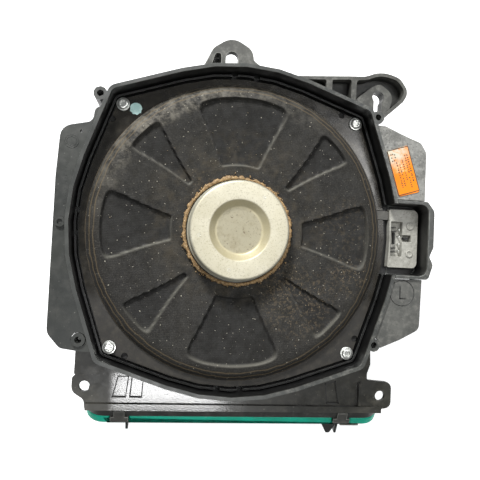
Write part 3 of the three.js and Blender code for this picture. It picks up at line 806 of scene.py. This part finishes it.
cloth = {
    "line": (  # radius and height
        (108.5, 67.3), (106.5, 69.9), (103, 72.3), (98, 73.3), (88, 72.5), (70, 70.2),
        (50, 67.9), (37.6, 67.2),
    ),
    "windows": (  # middle, half width outside and half width inside, in degrees
        (0, 16, 11), (43, 9, 3), (90, 22, 17), (137, 9, 3),
        (180, 16, 11), (223, 9, 3), (270, 22, 17), (317, 9, 3),
    ),
    "from": 49.0, "to": 97.0, "sides": (48, 98), "innerRound": 0.7, "outerRound": (0.3, 0.18),
    "sink": 2.5, "edge": 0.7, "inset": 0.9, "sag": 0.5, "lip": 0.25, "thick": 0.35, "litFrom": (-0.35, 0.94),
    "waves": ((0.28, 0, 23), (0.10, 5, 7)), "round": 420, "across": 104,
}


def clothTop(radius):
    line = cloth["line"]
    for i in range(len(line) - 1):
        (r0, z0), (r1, z1) = line[i], line[i + 1]
        if r1 <= radius <= r0:
            before = line[max(i - 1, 0)]
            after = line[min(i + 2, len(line) - 1)]
            slope0 = (z1 - before[1]) / (r1 - before[0])
            slope1 = (after[1] - z0) / (after[0] - r0)
            t = (radius - r0) / (r1 - r0)
            run = r1 - r0
            return ((2 * t**3 - 3 * t**2 + 1) * z0 + (t**3 - 2 * t**2 + t) * run * slope0
                    + (3 * t**2 - 2 * t**3) * z1 + (t**3 - t**2) * run * slope1)
    return line[-1][1]


def softLeast(values, width):
    total = sum(math.exp(-v / width) for v in values)
    return -width * math.log(total)


# how far inside the nearest window a point is, in mm; negative outside
def windowDepth(radius, degrees):
    best = -9.0
    for centre, outerHalf, innerHalf in cloth["windows"]:
        off = abs((degrees - centre + 180) % 360 - 180)
        share = (radius - cloth["sides"][0]) / (cloth["sides"][1] - cloth["sides"][0])
        half = innerHalf + (outerHalf - innerHalf) * min(max(share, 0), 1)
        side = radius * math.radians(half - off) - cloth["inset"]
        inner = softLeast((radius - cloth["from"], side), cloth["innerRound"])
        least, growth = cloth["outerRound"]
        outer = softLeast((cloth["to"] - radius, side), least + growth * outerHalf)
        best = max(best, min(inner, outer))
    return best


def clothSurface():
    points, faces, shades, litEdges = [], [], [], []
    line = cloth["line"]
    first, last = line[0][0], line[-1][0]
    for j in range(cloth["across"] + 1):
        radius = first + (last - first) * j / cloth["across"]
        top = clothTop(radius)
        for i in range(cloth["round"]):
            degrees = 360 * i / cloth["round"]
            angle = math.radians(degrees)
            depth = windowDepth(radius, degrees)
            t = min(max(depth / cloth["edge"] + 0.35, 0), 1)
            sunk = cloth["sink"] * t * t * (3 - 2 * t)
            lip = cloth["lip"] * math.exp(-((depth + 0.9) / 0.8) ** 2)
            x, y = radius * math.cos(angle), radius * math.sin(angle)
            wave = sum(high * noise.noise(Vector((x, y, z)) / long) for high, z, long in cloth["waves"])
            calm = min(1, (first - radius) / 6, (radius - last) / 3)
            sag = cloth["sag"] * min(max(depth / 9, 0), 1)
            points.append((x * mm, y * mm, (top - sunk + lip * calm + wave * calm - sag) * mm))
            shades.append(min(max(depth + 1.2, 0), 1))
            # how much a window edge faces the light, for its painted highlight
            lit, step = 0.0, 0.3
            if abs(depth) < 1.6:
                outwards = windowDepth(radius + step, degrees) - depth
                sideways = windowDepth(radius, degrees + math.degrees(step / radius)) - depth
                slopeX = outwards * math.cos(angle) - sideways * math.sin(angle)
                slopeY = outwards * math.sin(angle) + sideways * math.cos(angle)
                facing = (slopeX * cloth["litFrom"][0] + slopeY * cloth["litFrom"][1]) / step
                lit = max(facing, 0) * math.exp(-((depth + 0.3) / 0.75) ** 2)
            litEdges.append(lit)
    ring = cloth["round"]
    for j in range(cloth["across"]):
        for i in range(ring):
            k = (i + 1) % ring
            faces.append((j * ring + i, j * ring + k, (j + 1) * ring + k, (j + 1) * ring + i))
    mesh = bpy.data.meshes.new("scrim")
    mesh.from_pydata(points, [], faces)
    mesh.update()
    sunken = mesh.attributes.new("sunken", "FLOAT", "POINT")
    sunken.data.foreach_set("value", shades)
    # painted highlight along the window edges that face the light
    worn = mesh.attributes.new("litEdge", "FLOAT", "POINT")
    worn.data.foreach_set("value", litEdges)
    return mesh


scrim = bpy.data.objects.new("acousticScrim", clothSurface())
bpy.context.scene.collection.objects.link(scrim)
pick(scrim)
bpy.ops.object.mode_set(mode="EDIT")
bpy.ops.mesh.select_all(action="SELECT")
bpy.ops.mesh.normals_make_consistent(inside=False)
bpy.ops.object.mode_set(mode="OBJECT")
if scrim.data.polygons[0].normal.z < 0:
    scrim.data.flip_normals()
bpy.ops.object.modifier_add(type="SOLIDIFY")
scrim.modifiers[-1].thickness = cloth["thick"] * mm
scrim.modifiers[-1].offset = -1
applyAll(scrim)
complete(scrim, "scrimBlack", ["basket_cloth"], degrees=60)
print("cloth made:", len(scrim.data.polygons), "faces")


# motor cup with its bead of glue

cup = {
    "line": (
        (35.7, 62), (35.7, 68.7), (36.0, 69.0), (36.6, 69.3), (36.9, 69.7), (36.9, 70.2), (36.6, 70.6),
        (36.0, 71.0), (35.7, 71.4), (35.7, 81.2), (35.6, 82.1), (35.3, 82.9), (34.8, 83.5), (34.2, 83.86),
        (33.5, 83.98), (22.6, 83.98), (22.0, 83.9), (21.5, 83.65), (21.0, 83.1), (18.0, 79.9), (17.4, 79.4),
        (16.8, 79.1), (16.0, 79.0), (8, 79.0), (0.8, 79.0), (0, 79.0),
    ),
    "under": ((35.7, 62), (31.5, 62), (31.5, 80.6), (24, 80.6), (20.5, 75.8), (0.8, 75.8), (0, 75.8)),
    "sides": 144, "marks": ((29, 190), (29, 56), (29, 257)), "mark": 0.95, "markThick": 0.16,
    "markHigh": 83.93,
}

cupFace = turnedPiece("cupFace", cup["line"], cup["sides"])
cupUnder = turnedPiece("cupUnder", cup["under"], cup["sides"])
magnetCup = joined("motorCup", [cupFace, cupUnder])
mended(magnetCup, mergeWithin["cupHalves"])
complete(magnetCup, "cupZinc", ["magnet_cup"], degrees=40)

punches = []
for radius, degrees in cup["marks"]:
    angle = math.radians(degrees)
    deselectAll()
    bpy.ops.mesh.primitive_torus_add(
        major_radius=cup["mark"] * mm, minor_radius=cup["markThick"] * mm,
        major_segments=20, minor_segments=6,
        location=(radius * math.cos(angle) * mm, radius * math.sin(angle) * mm, cup["markHigh"] * mm),
    )
    punches.append(bpy.context.active_object)
punchMarks = joined("cupPunchMarks", punches)
complete(punchMarks, "zincScrew", degrees=60)

glue = {
    "radius": 38.9, "thick": 1.35, "middle": 69.0, "swells": ((0.75, 0, 3.1), (0.55, 9, 1.1)),
    "outwards": 1.9, "upwards": 0.5, "lift": 0.35,
    "crumbs": 90, "crumbSize": (0.35, 0.85), "crumbsOn": 68.0, "crumbsFrom": 0.4, "crumbSpread": (0.9, 1.0),
    "crumbShape": ((0.7, 1.4), (0.7, 1.2), (0.5, 0.8)),
}
deselectAll()
bpy.ops.mesh.primitive_torus_add(
    major_radius=glue["radius"] * mm, minor_radius=glue["thick"] * mm, major_segments=300, minor_segments=14,
    location=(0, 0, glue["middle"] * mm),
)
bead = bpy.context.active_object
bead.name = "glueBead"
settle(bead)
for vertex in bead.data.vertices:
    x, y, z = (v / mm for v in vertex.co)
    radius = math.hypot(x, y)
    swell = sum(high * noise.noise(Vector((x, y, layer)) / long) for high, layer, long in glue["swells"])
    outwards = (radius - glue["radius"]) / glue["thick"]
    grown = radius + max(outwards, 0) * swell * glue["outwards"]
    lift = (z - glue["middle"]) * (1 + glue["upwards"] * swell) + glue["lift"] * swell
    vertex.co = (x * grown / radius * mm, y * grown / radius * mm, (glue["middle"] + lift) * mm)
dress(bead, look["glueBrown"])
smooth(bead, 70)

crumbs = []
for i in range(glue["crumbs"]):
    angle = random.uniform(0, 2 * math.pi)
    radius = glue["radius"] + abs(random.gauss(*glue["crumbSpread"])) + glue["crumbsFrom"]
    size = random.uniform(*glue["crumbSize"])
    deselectAll()
    bpy.ops.mesh.primitive_ico_sphere_add(
        subdivisions=1, radius=size * mm,
        location=(
            radius * math.cos(angle) * mm, radius * math.sin(angle) * mm, (glue["crumbsOn"] + size * 0.5) * mm
        ),
        rotation=(random.random() * 3, random.random() * 3, random.random() * 3),
    )
    crumb = bpy.context.active_object
    crumb.scale = [random.uniform(*span) for span in glue["crumbShape"]]
    crumbs.append(crumb)
glueCrumbs = joined("glueCrumbs", crumbs)
dress(glueCrumbs, look["glueBrown"])
fit(bead, ["glue_ring"])
fit(glueCrumbs)

grit = {
    "spots": (  # place, spread and how many
        (47, -50, 13, 60), (84, -30, 6, 26), (30, -33, 8, 34), (-60, 60, 30, 14), (0, 80, 30, 12),
    ),
    "from": 44, "to": 104, "size": (0.14, 0.38), "stretch": (0.8, 1.6), "flat": 0.6, "inWindow": 0.3,
}
grains = []
for spotX, spotY, spread, count in grit["spots"]:
    for i in range(count):
        x, y = random.gauss(spotX, spread), random.gauss(spotY, spread)
        radius = math.hypot(x, y)
        if not grit["from"] < radius < grit["to"]:
            continue
        size = random.uniform(*grit["size"])
        depth = windowDepth(radius, math.degrees(math.atan2(y, x)) % 360)
        sunk = (cloth["sink"] + grit["inWindow"]) if depth > 0.6 else 0.0
        deselectAll()
        bpy.ops.mesh.primitive_ico_sphere_add(
            subdivisions=1, radius=size * mm,
            location=(x * mm, y * mm, (clothTop(radius) - sunk + size * 0.3) * mm),
            rotation=(random.random() * 3, random.random() * 3, 0),
        )
        bpy.context.active_object.scale = (random.uniform(*grit["stretch"]), 1, grit["flat"])
        grains.append(bpy.context.active_object)
gritGrains = joined("gritGrains", grains)
complete(gritGrains, "gritTan")
print("motor cup, glue and grit made")


# screws

driverScrew = {
    "line": (
        (1.4, 64.6), (1.4, 66.45), (4.55, 66.45), (4.8, 66.6), (4.8, 67.0), (4.6, 67.2), (3.9, 67.3),
        (3.7, 67.5), (3.65, 68.7), (3.45, 69.2), (2.9, 69.5), (2.2, 69.56), (1.9, 69.5), (1.75, 69.3),
        (1.7, 68.4), (0.3, 68.35), (0, 68.35),
    ),
    "lobes": 0.17, "recess": (0.5, 2.0), "recessFrom": 68, "sides": 48,
}


# the middle of a node, seen from above, in mm
def middleOf(node):
    low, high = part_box(node)
    return (low.x + high.x) / 2 / mm, (low.y + high.y) / 2 / mm


for i in range(1, 5):
    x, y = middleOf(f"driver_screw_{i}")
    screw = turnedPiece(f"driverScrew{i}", driverScrew["line"], driverScrew["sides"], (x, y))
    for vertex in screw.data.vertices:
        dx, dy = vertex.co.x / mm - x, vertex.co.y / mm - y
        radius = math.hypot(dx, dy)
        inner, outer = driverScrew["recess"]
        if inner < radius < outer and vertex.co.z > driverScrew["recessFrom"] * mm:
            growth = 1 + driverScrew["lobes"] * math.cos(6 * math.atan2(dy, dx) + i)
            vertex.co.x, vertex.co.y = (x + dx * growth) * mm, (y + dy * growth) * mm
    complete(screw, "zincScrew", [f"driver_screw_{i}"], degrees=35)

shellScrewEdge = 0.25
for i in range(1, 5):
    screw = softenedCopy(f"shell_screw_{i}", f"shellScrew{i}", shellScrewEdge, 2, (look["zincScrew"],))
    fit(screw, [f"shell_screw_{i}"])
print("screws made")


# paint dab, label and its print, moulded marks

dab = {
    "line": ((4.3, 66.1), (4.3, 66.42), (4.0, 66.5), (2.6, 66.6), (1.2, 66.52), (0, 66.5)),
    "sides": 44, "ragged": 0.07, "teeth": 9, "uneven": 0.05,
}
dabX, dabY = middleOf("paint_mark")
paintDab = turnedPiece("paintDab", dab["line"], dab["sides"], (dabX, dabY))
for vertex in paintDab.data.vertices:
    dx, dy = vertex.co.x / mm - dabX, vertex.co.y / mm - dabY
    radius = math.hypot(dx, dy)
    if radius > 0.1:
        angle = math.atan2(dy, dx)
        ragged = 1 + dab["uneven"] * noise.noise(Vector((dx, dy, 0)))
        if math.sin(angle) < 0.2:  # teeth where the brush left it
            ragged += dab["ragged"] * math.sin(dab["teeth"] * angle + 1)
        vertex.co.x, vertex.co.y = (dabX + dx * ragged) * mm, (dabY + dy * ragged) * mm
complete(paintDab, "mintPaint", ["paint_mark"], degrees=40)

stickerEdge = 0.08
stickerFinishes = (look["labelOrange"], look["printInk"])
sticker = softenedCopy("label", "labelSticker", stickerEdge, 2, stickerFinishes)
fit(sticker, ["label"])

# print on the label: columns of short strokes; across and down are shares of the label
labelPrint = {
    "corner": (106.8, 64.5), "down": (10.6, -33.1), "across": (16.2, 6.0), "bottom": 80.55, "top": 80.62,
    "stroke": (0.9, 1.9), "drawn": 0.62, "heavy": (1.3, 2.0), "gap": 0.35, "height": 34.7, "dot": 0.9,
    "border": 0.6, "sides": (0.02, 0.98), "sideLong": 34.0, "ends": (0.012, 0.988), "endLong": 16.2,
    "columns": (  # place across, start, end and weight
        (0.30, 0.30, 0.86, 0.5), (0.42, 0.36, 0.60, 0.5), (0.42, 0.66, 0.84, 0.5), (0.58, 0.28, 0.50, 0.6),
        (0.58, 0.56, 0.72, 0.5), (0.74, 0.20, 0.62, 0.5), (0.84, 0.20, 0.78, 0.6), (0.70, 0.68, 0.88, 0.5),
    ),
    "dots": (
        (0.14, 0.10), (0.22, 0.10), (0.30, 0.12), (0.14, 0.17), (0.30, 0.18), (0.22, 0.24), (0.14, 0.24),
    ),
}
leaning = math.degrees(math.atan2(labelPrint["down"][1], labelPrint["down"][0]))


def printed(across, down, long, wide):
    corner, v, u = labelPrint["corner"], labelPrint["across"], labelPrint["down"]
    x = corner[0] + v[0] * across + u[0] * down
    y = corner[1] + v[1] * across + u[1] * down
    return bar(x, y, long, wide, labelPrint["bottom"], labelPrint["top"], leaning)


strokes = []
for across, start, end, weight in labelPrint["columns"]:
    down = start
    while down < end:
        long = random.uniform(*labelPrint["stroke"])
        wide = weight * random.uniform(*labelPrint["heavy"])
        strokes.append(printed(across, down, long * labelPrint["drawn"], wide))
        down += (long + labelPrint["gap"]) / labelPrint["height"]
for across, down in labelPrint["dots"]:
    strokes.append(printed(across, down, labelPrint["dot"], labelPrint["dot"]))
for across in labelPrint["sides"]:
    strokes.append(printed(across, 0.5, labelPrint["sideLong"], labelPrint["border"]))
for down in labelPrint["ends"]:
    strokes.append(printed(0.5, down, labelPrint["border"], labelPrint["endLong"]))
labelStrokes = joined("labelStrokes", strokes)
complete(labelStrokes, "printInk")


def hoop(x, y, radius, thick, height, segments=48):
    deselectAll()
    bpy.ops.mesh.primitive_torus_add(
        major_radius=radius * mm, minor_radius=thick * mm, major_segments=segments, minor_segments=8,
        location=(x * mm, y * mm, height * mm),
    )
    return bpy.context.active_object


# raised marks on the left wing: a date clock, rows of plain bars and a blank frame
wingMarks = {
    "clock": (-118.3, 54.5), "face": 80.0, "low": 79.9, "high": 80.08, "hoops": ((4.6, 0.22), (3.2, 0.18)),
    "hand": (0.5, 4.0, 35), "ticks": 12, "tickRadius": 3.9, "tick": (0.7, 0.3),
    "rows": ((-120.5, 12, 42, 1.9), (-118.8, -48, -22, 1.7)), "barLong": (0.5, 1.1), "gaps": (0.7, 0.8, 2.0),
    "frame": (
        (-121.8, -63, 0.3, 22), (-111.5, -63, 0.3, 22), (-116.6, -52, 10.3, 0.3), (-116.6, -74, 10.3, 0.3),
    ),
    "lines": 5, "firstLine": (-116.5, -69), "lineStep": 3.0, "line": (4.2, 0.9),
}


def wingBar(x, y, long, wide, turn=0):
    return bar(x, y, long, wide, wingMarks["low"], wingMarks["high"], turn)


clockX, clockY = wingMarks["clock"]
marks = [hoop(clockX, clockY, radius, thick, wingMarks["face"]) for radius, thick in wingMarks["hoops"]]
marks.append(wingBar(clockX, clockY, *wingMarks["hand"]))
for i in range(wingMarks["ticks"]):
    degrees = i * 360 / wingMarks["ticks"]
    angle = math.radians(degrees)
    x = clockX + wingMarks["tickRadius"] * math.cos(angle)
    y = clockY + wingMarks["tickRadius"] * math.sin(angle)
    marks.append(wingBar(x, y, *wingMarks["tick"], degrees))
for x, start, end, wide in wingMarks["rows"]:
    y = start
    while y < end:
        long = random.uniform(*wingMarks["barLong"])
        marks.append(wingBar(x, y, wide, long, 2))
        y += long + random.choice(wingMarks["gaps"])
for edge in wingMarks["frame"]:
    marks.append(wingBar(*edge))
for i in range(wingMarks["lines"]):
    x, y = wingMarks["firstLine"]
    marks.append(wingBar(x, y + i * wingMarks["lineStep"], *wingMarks["line"]))
wingRelief = joined("wingRelief", marks)
complete(wingRelief, "wingPlastic", degrees=50)

# the side mark: a ring with an L in it
sideMark = {
    "centre": (122.8, -39.5), "ring": 9.3, "thick": 0.32, "face": 80.0, "low": 79.9, "high": 80.12,
    "letter": ((-1.6, 0.2, 1.0, 9.4), (0.6, -4.0, 4.4, 1.0)),
}
cx, cy = sideMark["centre"]
sideParts = [hoop(cx, cy, sideMark["ring"], sideMark["thick"], sideMark["face"], 64)]
for dx, dy, long, wide in sideMark["letter"]:
    sideParts.append(bar(cx + dx, cy + dy, long, wide, sideMark["low"], sideMark["high"]))
sideRelief = joined("sideMark", sideParts)
complete(sideRelief, "rimPlastic", degrees=50)

# dark outlines of the frames sunk in the deck
deckFrames = {
    "wide": 0.8, "bottom": 55.9, "top": 56.12,
    "corners": (
        ((-80.5, -109.5), (-73, -109.5), (-74.5, -124.5), (-84, -124.5)),
        ((-70.5, -109.5), (-62.5, -112.5), (-63, -124.5), (-71.5, -124.5)),
        ((75, -112.5), (83, -110.5), (86, -127), (76.5, -127)),
    ),
}
frameBars = []
for corners in deckFrames["corners"]:
    for (x0, y0), (x1, y1) in zip(corners, corners[1:] + corners[:1]):
        long = math.hypot(x1 - x0, y1 - y0) + deckFrames["wide"]
        turn = math.degrees(math.atan2(y1 - y0, x1 - x0))
        x, y = (x0 + x1) / 2, (y0 + y1) / 2
        frameBars.append(bar(x, y, long, deckFrames["wide"], deckFrames["bottom"], deckFrames["top"], turn))
frameOutlines = joined("deckFrameOutlines", frameBars)
complete(frameOutlines, "pinPlastic")

# melted heads of the panel's heat stakes
heatStake = {
    "line": (
        (3.0, 68.2), (3.0, 68.45), (2.8, 68.75), (2.3, 68.92), (1.7, 68.8), (1.4, 68.5), (1.2, 68.45),
        (0, 68.42),
    ),
    "sides": 32,
}
for i in (1, 2):
    middle = middleOf(f"heat_stake_{i}")
    stake = turnedPiece(f"heatStakeHead{i}", heatStake["line"], heatStake["sides"], middle)
    complete(stake, "panelPlastic", [f"heat_stake_{i}"], degrees=40)

# ribs and coding keys in the panel's socket
socket = {
    "floor": 63.55, "bevel": 0.12,
    "ribs": (  # place, length, width and top
        (120.6, 9.5, 4.6, 0.7, 66.4), (120.6, 6.5, 4.6, 0.7, 66.4), (120.6, -9.0, 4.6, 0.7, 66.4),
        (120.6, -6.0, 4.6, 0.7, 66.4), (130.6, 1.5, 3.6, 1.8, 67.2), (121.2, 1.2, 1.0, 8.6, 67.0),
    ),
}
ribs = [bar(x, y, long, wide, socket["floor"], top) for x, y, long, wide, top in socket["ribs"]]
socketCombs = joined("socketCombs", ribs)
bevelled(socketCombs, socket["bevel"], 1)
complete(socketCombs, "socketBlack")
print("label, marks and stakes made")


# finishes for the nodes that stay

keptNodes = {
    "gapFoam": ("flange_gasket",),
    "motorSteel": ("magnet", "pole_plate"),
    "stripPlastic": ("terminal_strip",),
    "zincScrew": ("contact_pin_1", "contact_pin_2", "contact_pin_3", "contact_pin_4"),
    "conePaper": ("cone", "dust_cap"),
    "formerFoil": ("coil_former",),
    "copperWire": ("voice_coil", "tinsel_lead_black", "tinsel_lead_red"),
    "rollRubber": ("surround",),
    "spiderCloth": ("spider",),
    "springSteel": ("terminal_post_black", "terminal_post_red"),
    "leadBlack": ("lead_wire_black",),
    "leadRed": ("lead_wire_red",),
}
for name, kept in keptNodes.items():
    for node in kept:
        for slot in nodes[node].material_slots:
            slot.material = look[name]
print("kept nodes finished")


# floor

paper = {"size": 6, "below": -0.3, "tone": (0.72, 0.72, 0.72), "rough": 0.9, "glow": 0.70}
deselectAll()
bpy.ops.mesh.primitive_plane_add(size=paper["size"], location=(0, 0, paper["below"] * mm))
floor = bpy.context.active_object
floor.name = "studioFloor"
floorPaper, tree, shader = started("studioPaper")
shader.inputs["Base Color"].default_value = (*paper["tone"], 1)
shader.inputs["Roughness"].default_value = paper["rough"]
shader.inputs["Emission Color"].default_value = (1, 1, 1, 1)
shader.inputs["Emission Strength"].default_value = paper["glow"]
dress(floor, floorPaper)
